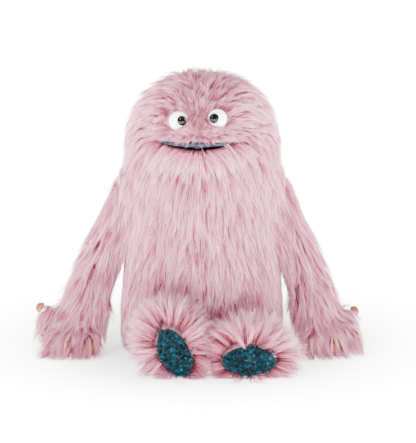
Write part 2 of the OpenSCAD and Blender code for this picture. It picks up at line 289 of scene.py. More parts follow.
LEG = {s: Limb([(HIP[s], ankle(s), 19 * MM, 19 * MM)]) for s in SIDES}
FOOT = {s: Foot(SOLE[s] + np.array([0, 26 * MM, 1 * MM]), SOLE_HALF[0] + 5 * MM,
                SOLE_HALF[1] + 5 * MM, 40 * MM, SOLE_LONG[s], SOLE_FRONT + 5 * MM)
        for s in SIDES}
MUZZLE_SIDE = np.array([15 * MM, 0, 0])
MUZZLE_AT = np.array([FACE_X, FOLD[1] - 73 * MM, 306 * MM])
MUZZLE = Limb([(MUZZLE_AT - MUZZLE_SIDE, MUZZLE_AT + MUZZLE_SIDE, 12.5 * MM, 12.5 * MM)])


def trunk_field(p):
    """Body and arms as one soft form, so that fur runs smoothly over the shoulders."""
    total = body_field(p) * FIELD_SCALE
    for s in SIDES:
        total = join(total, ARM[s](p), 26 * MM)
    return total


ALL_FORMS = [trunk_field, MUZZLE] + [group[s] for group in (HAND, LEG, FOOT) for s in SIDES]


def nearest_form(p, forms=ALL_FORMS):
    """Distance and normal of whichever form is closest to each point."""
    best, normal = probe(forms[0], p)
    for form in forms[1:]:
        d, n = probe(form, p)
        closer = d < best
        best = np.where(closer, d, best)
        normal[closer] = n[closer]
    return best, normal


# ---- how the fur is combed

EYES = {s: middle(f"eye_white_{s}") for s in SIDES}
EYE_AXIS = {s: unit(EYES[s] - middle(f"eye_washer_{s}")) for s in SIDES}
LIP_TOP = 295 * MM
LIP_LOW = 286.5 * MM
NOSE = np.array([FACE_X, LIP_FRONT + 4 * MM, EYES["left"][2] - 6 * MM])
LIPS = np.array([FACE_X, LIP_FRONT + 14 * MM, FOLD[2] + 4 * MM])
DOWN = np.array([0.0, 0.0, -1.0])

# Spaces that no hair enters: middle, direction, radius, and how far they reach both ways
WINDOWS = [(EYES[s], EYE_AXIS[s], 12.4 * MM, -12 * MM, 40 * MM) for s in SIDES]
for s in SIDES:
    for shift in (-17, -8, 0, 8, 17):
        WINDOWS.append((SOLE[s] + SOLE_LONG[s] * shift * MM, np.array([0.0, -1.0, 0.0]),
                        15.5 * MM, -6 * MM, 60 * MM))
    for nail, at, room in zip(NAILS, NAIL_AT[s], (6.5, 2, 1.5, 1.5)):
        WINDOWS.append((at, facing(f"{nail}_{s}", PALM[s]), room * MM, -2 * MM, 24 * MM))


def waves(p, length, seed):
    """A smooth random vector field whose waves are about length long."""
    r = np.random.default_rng(seed)
    total = np.zeros_like(p)
    for _ in range(5):
        turn = r.normal(size=(3, 3))
        turn = turn / np.linalg.norm(turn, axis=0) * (2 * math.pi / length * r.uniform(0.6, 1.5))
        total += np.sin(p @ turn + r.uniform(0, 6.3, 3))
    return total / 2.2


def comb_body(p):
    """Outwards from the nose over the head, fanned below the lips, then down."""
    from_nose = p - NOSE
    back = smooth(p[:, 1], FOLD[1] - 75 * MM, FOLD[1] + 10 * MM)[:, None]
    head = unit(from_nose) * (1 - 0.6 * back) + DOWN * (0.05 + 0.95 * back)
    from_lips = (p - LIPS) * np.array([1.0, 0.3, 1.0])
    reach = np.linalg.norm(from_lips, axis=1, keepdims=True)
    fan = unit(from_lips) * np.exp(-((reach / (75 * MM)) ** 2)) * 1.3
    chest = fan + DOWN * (0.55 + 0.45 * smooth(reach, 0, 60 * MM))
    high = smooth(p[:, 2], FOLD[2] - 14 * MM, FOLD[2] + 8 * MM)[:, None]
    return head * high + chest * (1 - high)


def steady(way):
    """A comb with one direction everywhere."""
    return lambda p: np.tile(way, (len(p), 1))


def comb_hand(s):
    start = WRIST[s] + 34 * MM * unit(SHOULDER[s] - WRIST[s])
    return lambda p: unit(p - start) + 0.30 * DOWN


def comb_foot(s):
    def comb(p):
        out = p - FOOT[s].centre
        out[:, 1] = 0
        return unit(out) + np.array([0, 0.25, -0.1])
    return comb


# ---- growing guide hairs

STEPS = 7
LEAST_HEIGHT = 1.5 * MM
SHOULDER_EDGE = 100 * MM


def clear_windows(p):
    """Moves points out of the space in front of the eyes, soles and nails."""
    for centre, axis, radius, near, far in WINDOWS:
        along, across, r = about_axis(p, centre, axis)
        inside = (r < radius) & (along > near) & (along < far)
        push = (radius - r)[:, None] * unit(across)
        p[inside] += push[inside]
    return p


def off_middle(p):
    """0 at the middle of the mouth, 1 at its corners."""
    return np.abs(p[:, 0] - FACE_X) / MOUTH_EDGE


def clear_lips(p, above, stray):
    """Keeps hairs off the lips: those rooted above stay above, the others below.

    The lower limit rises towards the corners, and stray hairs cross."""
    front = (off_middle(p) < 1) & (p[:, 1] < FOLD[1] - 40 * MM) & ~stray
    low = LIP_LOW + 7 * MM * off_middle(p) ** 2
    p[:, 2] = np.where(front & above, np.maximum(p[:, 2], LIP_TOP), p[:, 2])
    p[:, 2] = np.where(front & ~above, np.minimum(p[:, 2], low), p[:, 2])
    return p


def grow(roots, normals, comb, length, height, lift, seed, curl=0.18, droop=0.0, free=False,
         crossing=0.12, forms=ALL_FORMS):
    """Guide hairs from their roots: combed along the surface, rising to height above it.

    Free hair also leaves the surface where it is combed outwards, as past a finger's tip."""
    n = len(roots)
    above = roots[:, 2] > LIP_TOP
    stray = rng.uniform(size=n) < crossing
    paths = np.empty((n, STEPS + 1, 3))
    paths[:, 0] = roots
    p = roots.copy()
    normal = normals
    dist = np.zeros(n)
    jitter = rng.normal(size=(n, 3)) * 0.16
    step = (length / STEPS)[:, None]
    for k in range(STEPS):
        t = (k + 1) / STEPS
        way = comb(p) + jitter + waves(p, 34 * MM, seed) * curl + waves(p, 11 * MM, seed + 1) * curl
        outward = (way * normal).sum(1, keepdims=True)
        way -= (np.minimum(outward, 0) if free else outward) * normal
        way = unit(way)
        goal = height * (1 - (1 - t) ** lift)
        rise = np.clip((goal - dist) / step[:, 0], 0 if free else -0.5, 0.97)[:, None]
        v = way * np.sqrt(1 - rise ** 2) + normal * rise
        v[:, 2] -= droop * t
        p = p + unit(v) * step
        p[:, 2] = np.maximum(p[:, 2], FLOOR_GAP + 0.5 * MM * (k % 3))
        p = clear_lips(clear_windows(p), above, stray)
        dist, normal = nearest_form(p, forms)
        buried = dist < LEAST_HEIGHT
        p[buried] += (LEAST_HEIGHT - dist[buried])[:, None] * normal[buried]
        p[:, 2] = np.maximum(p[:, 2], FLOOR_GAP)
        paths[:, k + 1] = p
    return paths


def resample(paths, reach, count):
    """Points at count + 1 even steps over the first part of each path."""
    t = np.linspace(0, 1, count + 1)[None] * reach[:, None] * (paths.shape[1] - 1)
    i = np.minimum(t.astype(int), paths.shape[1] - 2)
    f = (t - i)[..., None]
    rows = np.arange(len(paths))[:, None]
    return paths[rows, i] * (1 - f) + paths[rows, i + 1] * f


def children(paths, normals, tone, per, spread, rings, width, tight):
    """The hairs of each lock: they start round their guide and close in on it towards the tip."""
    n = len(paths)
    which = np.repeat(np.arange(n), per)
    m = len(which)
    normal = normals[which]
    side = unit(np.cross(normal, rng.normal(size=(m, 3))))
    offset = side * (spread * np.sqrt(rng.uniform(0.02, 1, m)))[:, None]
    loose = rng.uniform(size=m) < 0.12
    close = np.where(loose, rng.uniform(-0.8, 0.1, m), rng.uniform(tight - 0.5, tight, m))
    path = resample(paths[which], rng.uniform(0.66, 1.0, m), rings)
    s = np.linspace(0, 1, rings + 1)[None, :, None]
    path = path + offset[:, None] * (1 - close[:, None, None] * s ** 1.3)
    wander = rng.normal(size=(m, 1, 3)) * (1.1 * MM) * s ** 1.5
    path = path + wander * np.where(loose, 2.6, 1.0)[:, None, None]
    path[..., 2] = np.maximum(path[..., 2], FLOOR_GAP + rng.exponential(2.2 * MM, (m, 1)))
    path = keep_in(path)
    shade = np.clip(tone[which] + rng.normal(size=m) * 0.33, 0.02, 0.98)
    wide = width * rng.uniform(0.7, 1.25, m) * np.where(loose, 0.6, 1)
    return path, normal, shade, wide


# ---- meshes from arrays

def new_object(name, mesh):
    obj = bpy.data.objects.new(name, mesh)
    bpy.context.scene.collection.objects.link(obj)
    return obj


def array_mesh(name, points, corners, sizes, uv=None):
    """A mesh from vertex positions, a flat list of corners and the size of each face."""
    mesh = bpy.data.meshes.new(name)
    mesh.vertices.add(len(points))
    mesh.vertices.foreach_set("co", np.ascontiguousarray(points, np.float32).ravel())
    mesh.loops.add(len(corners))
    mesh.loops.foreach_set("vertex_index", corners.astype(np.int32))
    mesh.polygons.add(len(sizes))
    starts = np.concatenate([[0], np.cumsum(sizes)[:-1]])
    mesh.polygons.foreach_set("loop_start", starts.astype(np.int32))
    mesh.polygons.foreach_set("use_smooth", np.ones(len(sizes), bool))
    if uv is not None:
        layer = mesh.uv_layers.new(name="OFBake").data
        layer.foreach_set("uv", np.ascontiguousarray(uv, np.float32).ravel())
    mesh.update(calc_edges=True)
    mesh.validate()
    return mesh


def strand_faces(rings):
    """Corners, ring and side of each corner, and face sizes of one three-sided hair."""
    corners, along, sides, sizes = [2, 1, 0], [0, 0, 0], [2, 1, 0], [3]
    for k in range(rings - 1):
        for j in range(3):
            nxt = (j + 1) % 3
            corners += [3 * k + j, 3 * k + nxt, 3 * k + 3 + nxt, 3 * k + 3 + j]
            along += [k, k, k + 1, k + 1]
            sides += [j, nxt, nxt, j]
            sizes.append(4)
    for j in range(3):
        nxt = (j + 1) % 3
        corners += [3 * (rings - 1) + j, 3 * (rings - 1) + nxt, 3 * rings]
        along += [rings - 1, rings - 1, rings]
        sides += [j, nxt, j]
        sizes.append(3)
    return [np.array(x) for x in (corners, along, sides, sizes)]


def keep_in(p):
    """Bends hairs that reach past the CAD box back towards it, so that they stay within about 10 mm
    of it sideways and 9 mm front and back.
    """
    soft = 9 * MM
    for k, proud in ((0, 10 * MM), (1, 9 * MM)):
        for side, way in ((cad_box[0][k], -1), (cad_box[1][k], 1)):
            over = np.maximum(p[..., k] * way - (side * way + proud - soft), 0)
            p[..., k] -= way * give(over, soft)
    return p


def hair_mesh(name, path, normal, shade, wide):
    """Tapered three-sided hairs along their paths. Their map holds tone across and length up."""
    m, rings = len(path), path.shape[1] - 1
    tangent = np.empty_like(path)
    tangent[:, :-1] = path[:, 1:] - path[:, :-1]
    tangent[:, -1] = tangent[:, -2]
    tangent = unit(tangent)
    side = unit(np.cross(tangent, normal[:, None]))
    top = np.cross(side, tangent)
    taper = np.interp(np.arange(rings) / rings, [0, 0.25, 0.6, 1], [0.8, 1, 0.85, 0.3])
    angle = np.radians([90, 210, 330])
    radius = 0.5 * wide[:, None, None, None] * taper[None, :, None, None]
    ring = (side[:, :rings, None] * np.cos(angle)[None, None, :, None]
            + top[:, :rings, None] * 0.7 * np.sin(angle)[None, None, :, None])
    points = path[:, :rings, None] + radius * ring
    each = 3 * rings + 1
    verts = np.concatenate([points.reshape(m, 3 * rings, 3), path[:, -1:]], axis=1)
    verts[..., 2] = np.maximum(verts[..., 2], HAIR_LOW)
    corners, along, sides, sizes = strand_faces(rings)
    all_corners = (np.arange(m)[:, None] * each + corners[None]).ravel()
    u = shade[:, None] + (sides - 1)[None] * 0.012
    v = np.broadcast_to(0.02 + 0.96 * along[None] / rings, u.shape)
    uv = np.stack([u, v], axis=2).reshape(-1, 2)
    return array_mesh(name, verts.reshape(-1, 3), all_corners, np.tile(sizes, m), uv)


def grid_mesh(name, points, closed=True):
    """A quad mesh from rows of points. Closed rows join their ends."""
    rows, cols = points.shape[:2]
    last = cols if closed else cols - 1
    i = np.arange(rows - 1)[:, None] * cols
    j = np.arange(last)[None]
    nxt = (j + 1) % cols
    faces = np.stack([i + j, i + nxt, i + cols + nxt, i + cols + j], axis=2).reshape(-1, 4)
    return array_mesh(name, points.reshape(-1, 3), faces.ravel(), np.full(len(faces), 4))


def triangles(mesh):
    mesh.calc_loop_triangles()
    index = np.empty(len(mesh.loop_triangles) * 3, np.int32)
    mesh.loop_triangles.foreach_get("vertices", index)
    co = np.empty(len(mesh.vertices) * 3, np.float32)
    mesh.vertices.foreach_get("co", co)
    return co.reshape(-1, 3)[index.reshape(-1, 3)].astype(float)


def scatter(mesh, field, spacing):
    """Evenly random points on a mesh, about spacing apart, moved onto the field's surface."""
    tri = triangles(mesh)
    cross = np.cross(tri[:, 1] - tri[:, 0], tri[:, 2] - tri[:, 0])
    area = np.linalg.norm(cross, axis=1) / 2
    count = int(area.sum() / spacing ** 2 * 4)
    pick = rng.choice(len(tri), count, p=area / area.sum())
    a, b = rng.uniform(size=(2, count))
    over = a + b > 1
    a[over], b[over] = 1 - a[over], 1 - b[over]
    t = tri[pick]
    p = t[:, 0] + a[:, None] * (t[:, 1] - t[:, 0]) + b[:, None] * (t[:, 2] - t[:, 0])
    cell = np.floor(p / spacing).astype(np.int64)
    key = (cell[:, 0] * 73856093) ^ (cell[:, 1] * 19349663) ^ (cell[:, 2] * 83492791)
    first = np.unique(key, return_index=True)[1]
    p = p[np.sort(first)]
    for _ in range(2):
        d, n = probe(field, p)
        p = p - np.clip(d, -4 * MM, 4 * MM)[:, None] * n
    return p, probe(field, p)[1]


# ---- materials

def srgb(text):
    """A colour written as six hex digits, as the linear numbers that shaders take."""
    parts = [int(text[i:i + 2], 16) / 255 for i in (0, 2, 4)]
    return [c / 12.92 if c <= 0.04045 else ((c + 0.055) / 1.055) ** 2.4 for c in parts] + [1]


def material(name, shine=0.5, **plain):
    """A principled material, its node tree and its shader. Shine is the specular level."""
    mat = bpy.data.materials.new(name)
    mat.use_nodes = True
    shader = mat.node_tree.nodes["Principled BSDF"]
    shader.inputs["Specular IOR Level"].default_value = shine
    for key, value in plain.items():
        shader.inputs[key.replace("_", " ")].default_value = value
    return mat, mat.node_tree, shader


def ramp(tree, stops):
    node = tree.nodes.new("ShaderNodeValToRGB")
    while len(node.color_ramp.elements) < len(stops):
        node.color_ramp.elements.new(0.5)
    for element, (place, colour) in zip(node.color_ramp.elements, stops):
        element.position = place
        element.color = srgb(colour)
    return node


def object_place(tree):
    return tree.nodes.new("ShaderNodeTexCoord").outputs["Object"]


def noise(tree, place, scale, detail):
    node = tree.nodes.new("ShaderNodeTexNoise")
    node.inputs["Scale"].default_value = scale
    node.inputs["Detail"].default_value = detail
    tree.links.new(place, node.inputs["Vector"])
    return node.outputs["Fac"]


def colour_by(tree, shader, value, stops):
    colours = ramp(tree, stops)
    tree.links.new(value, colours.inputs["Fac"])
    tree.links.new(colours.outputs["Color"], shader.inputs["Base Color"])


def fur_material(name, dark, light):
    """Hair whose colour runs from darker roots to lighter tips, between a darker and a lighter set
    of tones. The dark roots are partly the fur's own colour and partly painted shade deep down
    between the locks.
    """
    mat, tree, shader = material(name, 0.3, Roughness=0.55, Sheen_Weight=0.1)
    uv = tree.nodes.new("ShaderNodeUVMap")
    uv.uv_map = "OFBake"
    split = tree.nodes.new("ShaderNodeSeparateXYZ")
    tree.links.new(uv.outputs["UV"], split.inputs[0])
    mix = tree.nodes.new("ShaderNodeMix")
    mix.data_type = "RGBA"
    for stops, socket in ((dark, 6), (light, 7)):
        node = ramp(tree, stops)
        tree.links.new(split.outputs["Y"], node.inputs["Fac"])
        tree.links.new(node.outputs["Color"], mix.inputs[socket])
    tree.links.new(split.outputs["X"], mix.inputs["Factor"])
    tree.links.new(mix.outputs[2], shader.inputs["Base Color"])
    return mat


def cloth_material(name, low, high, scale, strength, roughness=0.85, sheen=0.2, kind="noise"):
    """Woven or knitted cloth: a small repeating bump and slow changes of colour."""
    mat, tree, shader = material(name, Roughness=roughness, Sheen_Weight=sheen)
    place = object_place(tree)
    colour_by(tree, shader, noise(tree, place, 60, 6), [(0.3, low), (0.7, high)])
    if kind == "noise":
        height = noise(tree, place, scale, 3)
    else:
        weave = tree.nodes.new("ShaderNodeTexWave")
        weave.bands_direction = "DIAGONAL"
        weave.inputs["Distortion"].default_value = 1.5
        weave.inputs["Scale"].default_value = scale
        tree.links.new(place, weave.inputs["Vector"])
        height = weave.outputs["Fac"]
    bump = tree.nodes.new("ShaderNodeBump")
    bump.inputs["Strength"].default_value = strength
    bump.inputs["Distance"].default_value = 0.6 * MM
    tree.links.new(height, bump.inputs["Height"])
    tree.links.new(bump.outputs["Normal"], shader.inputs["Normal"])
    return mat


def satin_material():
    """Dark slate satin with streaks of painted sheen that run over the lip: the lighter streaks
    stand in for its reflections, the near black ones for the dark between them.
    """
    mat, tree, shader = material("mouth_satin", 0.16, Roughness=0.42)
    stretch = tree.nodes.new("ShaderNodeMapping")
    stretch.inputs["Scale"].default_value = (1.0, 0.12, 0.12)
    tree.links.new(object_place(tree), stretch.inputs["Vector"])
    streaks = noise(tree, stretch.outputs["Vector"], 330, 4)
    # Painted sheen: the lighter streaks stand in for the satin's reflections over its own dark
    # slate.
    colour_by(tree, shader, streaks, [(0.4, "020304"), (0.53, "0b121e"), (0.68, "2b3b4f")])
    return mat


def boucle_material():
    """Dark teal yarn whose colour a noise runs from nearly black to a light teal: the near black is
    painted shade meant for between its clumps, the light teal painted highlights meant for its
    loops.
    """
    mat, tree, shader = material("sole_boucle", 0.12, Roughness=0.6)
    colour_by(tree, shader, noise(tree, object_place(tree), 210, 6),
              [(0.36, "000506"), (0.5, "001a22"), (0.62, "00323f"), (0.74, "0f7483")])
    return mat


# Ramps run from root at 0 to tip at 1: the dark roots are partly the fur's own colour and partly
# painted shade between the locks.
FUR = fur_material(
    "pink_fur",
    [(0.0, "45091a"), (0.25, "741b32"), (0.6, "9a3c57"), (1.0, "b5657f")],
    [(0.0, "6c2239"), (0.25, "bf667f"), (0.6, "de92ab"), (1.0, "ecbacd")])
# The backing cloth is really there; its dark rose is painted shade where it shows between the
# hairs.
BACKING_SHADE_CLOTH = cloth_material("fur_backing", "8f4f5a", "b5707c", 900, 0.4)
FIBRE = cloth_material("fibre_fill", "b98a95", "cfa4ae", 300, 0.8, sheen=0.4)
SLEEVE_CLOTH = cloth_material("sleeve_tricot", "84727b", "9a8891", 1400, 0.5, kind="wave")
SEAT_CLOTH = cloth_material("seat_cloth", "a9788a", "c295a0", 1100, 0.5)
BOARD = cloth_material("mouth_board_plastic", "3a3d44", "474a52", 500, 0.15, roughness=0.6, sheen=0)
SATIN = satin_material()
NAIL = cloth_material("nail_leatherette", "4c2a02", "7d4a04", 700, 0.25, roughness=0.7, sheen=0.0)
BOUCLE = boucle_material()
CALICO = cloth_material("pellet_calico", "bdb196", "cfc5ad", 1200, 0.5, kind="wave")
EYE_GLOSS = material("eye_white", Base_Color=srgb("fbfbfb"), Roughness=0.2)[0]
PUPIL_GLOSS = material("pupil_black", 0.16, Base_Color=srgb("020203"), Roughness=0.04)[0]
WASHER = material("washer_plastic", Base_Color=srgb("d8d8d4"), Roughness=0.5)[0]


def dress(obj, mat):
    obj.data.materials.clear()
    obj.data.materials.append(mat)
    return obj


def finish_piece(piece, mat, attach, nodes=()):
    """Gives a mesh or object its look, runs attach on it and hides the CAD nodes that it takes the
    place of.
    """
    if isinstance(piece, bpy.types.Mesh):
        piece = new_object(piece.name, piece)
    dress(piece, mat)
    attach(piece)
    if nodes:
        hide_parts(*nodes)
    return piece


def riding(body):
    return lambda obj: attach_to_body(obj, body)


def turning(a, b, way):
    """Bakes a piece's place into its mesh, where it stands."""
    return lambda obj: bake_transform(obj, a, b, Vector(way[0]), Vector(way[1]))


# ---- skins under the fur

COLUMNS = 120
NECK_LOW = 232 * MM
NECK_TOP = 300 * MM
THROAT_LOW = 225 * MM
THROAT_TOP = 281 * MM
FACE_LOW = 297 * MM
CORNER = {"left": math.radians(31.5), "right": math.radians(-39.5)}  # mouth ends, from ahead
FORWARD = -math.pi / 2


def loft_row(z, angles):
    """Points round the backing at height z."""
    half, front, back = outline_at(z)
    if z > DOME_Z:
        u = (z - DOME_Z) / (CROWN - BACKING - DOME_Z)
        share = max(1 - u ** DOME_POWER, 0) ** (1 / DOME_POWER)
        half, front, back = half * share, front * share, back * share
    depth = np.where(np.sin(angles) < 0, front, back)
    return np.stack([half * np.cos(angles), FOLD[1] + depth * np.sin(angles),
                     np.full(len(angles), z)], axis=1)


def shell(name, heights, angles, closed, thick=2.2 * MM):
    """A double wall of backing between the given heights and angles, joined at its edges."""
    outer = np.array([loft_row(z, angles) for z in heights])
    outward = outer - np.array([0, FOLD[1], 0])
    outward[..., 2] = 0
    inner = outer - unit(outward) * thick
    if closed:
        return grid_mesh(name, np.concatenate([inner[::-1], outer]))
    rows = np.concatenate([outer, inner[:, ::-1]], axis=1)
    return cap_ends(grid_mesh(name, rows), rows.shape[1], len(heights))


def edit_mesh(mesh, change):
    """Runs change on the mesh and turns its normals outwards."""
    bm = bmesh.new()
    bm.from_mesh(mesh)
    bm.verts.ensure_lookup_table()
    change(bm)
    bmesh.ops.recalc_face_normals(bm, faces=bm.faces)
    bm.to_mesh(mesh)
    bm.free()
    return mesh


def cap_ends(mesh, cols, rows):
    """Closes the two open ends of a tube made by grid_mesh with quads across its wall."""
    def change(bm):
        for start, flip in ((0, True), ((rows - 1) * cols, False)):
            for j in range(cols // 2 - 1):
                ring = [start + j, start + j + 1, start + cols - 2 - j, start + cols - 1 - j]
                face = bm.faces.new([bm.verts[k] for k in (ring[::-1] if flip else ring)])
                face.smooth = True
    return edit_mesh(mesh, change)


def cap_columns(mesh, cols, rows):
    """Closes both ends of a tube made by grid_mesh with one face each."""
    def change(bm):
        for start in (0, (rows - 1) * cols):
            bm.faces.new([bm.verts[start + k] for k in range(cols)])
        bmesh.ops.triangulate(bm, faces=[f for f in bm.faces if len(f.verts) > 4])
    return edit_mesh(mesh, change)


def tidy_normals(mesh):
    return edit_mesh(mesh, lambda bm: bmesh.ops.remove_doubles(bm, verts=bm.verts, dist=0.02 * MM))


def rows_of(outer, inner, at):
    """Rows of points: at gives the point for each pair of values."""
    return np.array([[at(u, v) for v in inner] for u in outer])


def band(low, high, step=5 * MM):
    return np.linspace(low, high, max(2, int((high - low) / step) + 1))


ROUND = circle(COLUMNS)
SIDES_AND_BACK = np.linspace(FORWARD + CORNER["left"], FORWARD + 2 * math.pi + CORNER["right"],
                             COLUMNS)
MOUTH_FRONT = np.linspace(FORWARD + CORNER["right"], FORWARD + CORNER["left"], 34)


def head_heights():
    u = np.sin(np.linspace(0, 0.985, 26) * math.pi / 2)
    top = CROWN - BACKING
    return np.concatenate([[NECK_TOP], NECK_TOP + u[1:] * (top - NECK_TOP), [top - 0.2 * MM]])


NECK_WAY = (np.array([0, FOLD[1], NECK_LOW]), np.array([0, FOLD[1], NECK_TOP]))
THROAT_WAY = (np.array([FACE_X, FOLD[1], NECK_LOW]), np.array([FACE_X, FOLD[1], 272 * MM]))


def make_body_skins():
    head, neck = riding("head"), turning("torso", "head", NECK_WAY)
    lip_heights = band(FACE_LOW, NECK_TOP + 1 * MM, 2 * MM)
    for name, heights, angles, closed, attach, nodes in (
            ("body", band(2 * MM, NECK_LOW), ROUND, True, riding("torso"),
             ("body_fur_front", "body_fur_back")),
            ("neck", band(NECK_LOW, NECK_TOP), SIDES_AND_BACK, False, neck, ("nape_fur",)),
            ("throat", band(THROAT_LOW, THROAT_TOP), MOUTH_FRONT, False,
             turning("torso", "jaw", THROAT_WAY), ("throat_fur", "chin_fur")),
            ("head", head_heights(), ROUND, True, head, ("face_fur", "head_back_fur")),
            ("lip", lip_heights, MOUTH_FRONT, False, head, ())):
        mesh = tidy_normals(shell(f"{name}_backing", heights, angles, closed))
        finish_piece(mesh, BACKING_SHADE_CLOTH, attach, nodes)


def blob(name, parts, voxel=2.4 * MM):
    """A smooth closed mesh over capsules, made by merging them in a voxel grid."""
    bm = bmesh.new()
    for a, b, ra, rb in parts:
        way = Vector(b - a)
        turn = way.to_track_quat("Z", "Y").to_matrix().to_4x4()
        for t in np.linspace(0, 1, 12):
            at = Vector(a).lerp(Vector(b), t)
            size = ra + (rb - ra) * t
            bmesh.ops.create_icosphere(bm, subdivisions=3, radius=size,
                                       matrix=Matrix.Translation(at) @ turn)
    mesh = bpy.data.meshes.new(name)
    bm.to_mesh(mesh)
    bm.free()
    obj = new_object(name, mesh)
    remesh = obj.modifiers.new("Merge", "REMESH")
    remesh.mode = "VOXEL"
    remesh.voxel_size = voxel
    relax = obj.modifiers.new("Relax", "SMOOTH")
    relax.iterations = 6
    return apply_modifiers(obj)


def apply_modifiers(obj):
    graph = bpy.context.evaluated_depsgraph_get()
    done = bpy.data.meshes.new_from_object(obj.evaluated_get(graph))
    done.name = obj.name
    obj.modifiers.clear()
    obj.data = done
    for polygon in done.polygons:
        polygon.use_smooth = True
    return obj


def foot_blob(s):
    """The foot's backing: an oval bag, flat in front."""
    form = FOOT[s]
    c, k = form.long_way[0], form.long_way[2]

    def at(v, u):
        r = max(math.sin(v), 1e-3) ** 0.8
        a = form.size[0] * r * math.cos(u)
        b = form.size[2] * r * math.sin(u)
        y = -math.cos(v) * form.size[1]
        x, y, z = form.centre + np.array([c * a - k * b, y, k * a + c * b])
        return x, max(y, form.front), max(z, 2 * MM)

    return tidy_normals(grid_mesh(f"foot_backing_{s}",
                                  rows_of(np.linspace(0, math.pi, 26), circle(48), at)))


ARM_LONG = {s: unit(WRIST[s] - SHOULDER[s]) for s in SIDES}


def at_shoulder(s):
    way = (SHOULDER[s] - ARM_LONG[s] * 6 * MM, SHOULDER[s] + ARM_LONG[s] * 42 * MM)
    return turning("torso", f"arm_{s}", way)


def at_wrist(s):
    way = (WRIST[s] - ARM_LONG[s] * 16 * MM, WRIST[s] + ARM_LONG[s] * 12 * MM)
    return turning(f"arm_{s}", f"hand_{s}", way)


def make_limb_skins():
    """Backings of the limbs and muzzle, returned because fur grows from them."""
    skins = {}
    for s in SIDES:
        top, end = SHOULDER[s], WRIST[s] - ARM_LONG[s] * 4 * MM
        arm = blob(f"arm_backing_{s}", [(top - ARM_LONG[s] * 4 * MM, end, 15 * MM, 17 * MM)])
        fill = blob(f"arm_fibre_{s}", [(top - ARM_LONG[s] * 2 * MM, end, 11 * MM, 13 * MM)])
        finish_piece(fill, FIBRE, at_shoulder(s), [f"arm_stuffing_{s}"])
        hand = blob(f"hand_backing_{s}", hand_parts(s), voxel=1.8 * MM)
        leg = blob(f"leg_backing_{s}", [(HIP[s], ankle(s), 18 * MM, 18 * MM)])
        with_leg = riding(f"leg_{s}")
        skins[s] = [finish_piece(piece, BACKING_SHADE_CLOTH, attach, [f"{node}_fur_{s}"])
                    for piece, attach, node in (
                        (arm, at_shoulder(s), "arm"), (hand, at_wrist(s), "hand"),
                        (leg, with_leg, "leg"), (foot_blob(s), with_leg, "foot"))]
    muzzle = blob("muzzle_backing", [(MUZZLE_AT - MUZZLE_SIDE, MUZZLE_AT + MUZZLE_SIDE,
                                      12 * MM, 12 * MM)], voxel=1.6 * MM)
    return skins, finish_piece(muzzle, BACKING_SHADE_CLOTH, riding("head"), ["muzzle_fur"])


# ---- fur pieces

MOST_HAIRS = 8500
RINGS = 4


def hair_pieces(name, paths, normals, tone, per, spread, width, attach, tight=0.92):
    """Splits locks into pieces of hair, each tied on by attach and made of closed hairs."""
    each = max(1, MOST_HAIRS // per)
    parts = max(1, math.ceil(len(paths) / each))
    order = np.argsort(paths[:, 0, 0] + 0.37 * paths[:, 0, 2])
    for k, chosen in enumerate(np.array_split(order, parts)):
        hairs = children(paths[chosen], normals[chosen], tone[chosen], per, spread, RINGS, width,
                         tight)
        finish_piece(hair_mesh(f"{name}_{k + 1}", *hairs), FUR, attach)


def tones(p, seed, base=0.5):
    """A slow change of tone from lock to lock."""
    slow = waves(p, 60 * MM, seed)[:, 0] * 0.10 + waves(p, 16 * MM, seed + 3)[:, 1] * 0.13
    bands = 0.09 * np.sin(p[:, 2] / (8 * MM) + 3 * waves(p, 120 * MM, seed + 6)[:, 2])
    return np.clip(base + slow + bands + rng.normal(size=len(p)) * 0.27, 0.03, 0.97)


def body_lengths(p):
    """Length of the hair and how high its tip stands, at each root."""
    head = smooth(p[:, 2], FOLD[2] - 25 * MM, FOLD[2] + 20 * MM)
    crown = smooth(p[:, 2], CROWN - 40 * MM, CROWN - 8 * MM)
    length = 50 - 6 * head - 6 * crown
    height = 14 + 2 * head
    mane = smooth(np.abs(p[:, 0]), 45 * MM, 84 * MM)
    mane = mane * np.exp(-(((p[:, 2] - 254 * MM) / (34 * MM)) ** 2))
    length = length + 10 * mane
    height = height + 3 * mane
    ahead = p[:, 1] < FOLD[1]
    around = np.hypot((p[:, 0] - FACE_X) / 56, (p[:, 2] - 312 * MM) / 30) / MM
    near = np.where(ahead, 1 - smooth(around, 0.75, 1.7), 0)
    below = np.hypot((p[:, 0] - FACE_X) / 70, (p[:, 2] - 282 * MM) / 34) / MM
    under = np.where(ahead & (p[:, 2] < FOLD[2]), 1 - smooth(below, 0.1, 1.2), 0)
    length = length * (1 - 0.50 * near) * (1 - 0.30 * under)
    height = height * (1 - 0.62 * near) * (1 - 0.30 * under)
    spread = rng.uniform(0.85, 1.12, len(p))
    return length * MM * spread, height * MM * spread


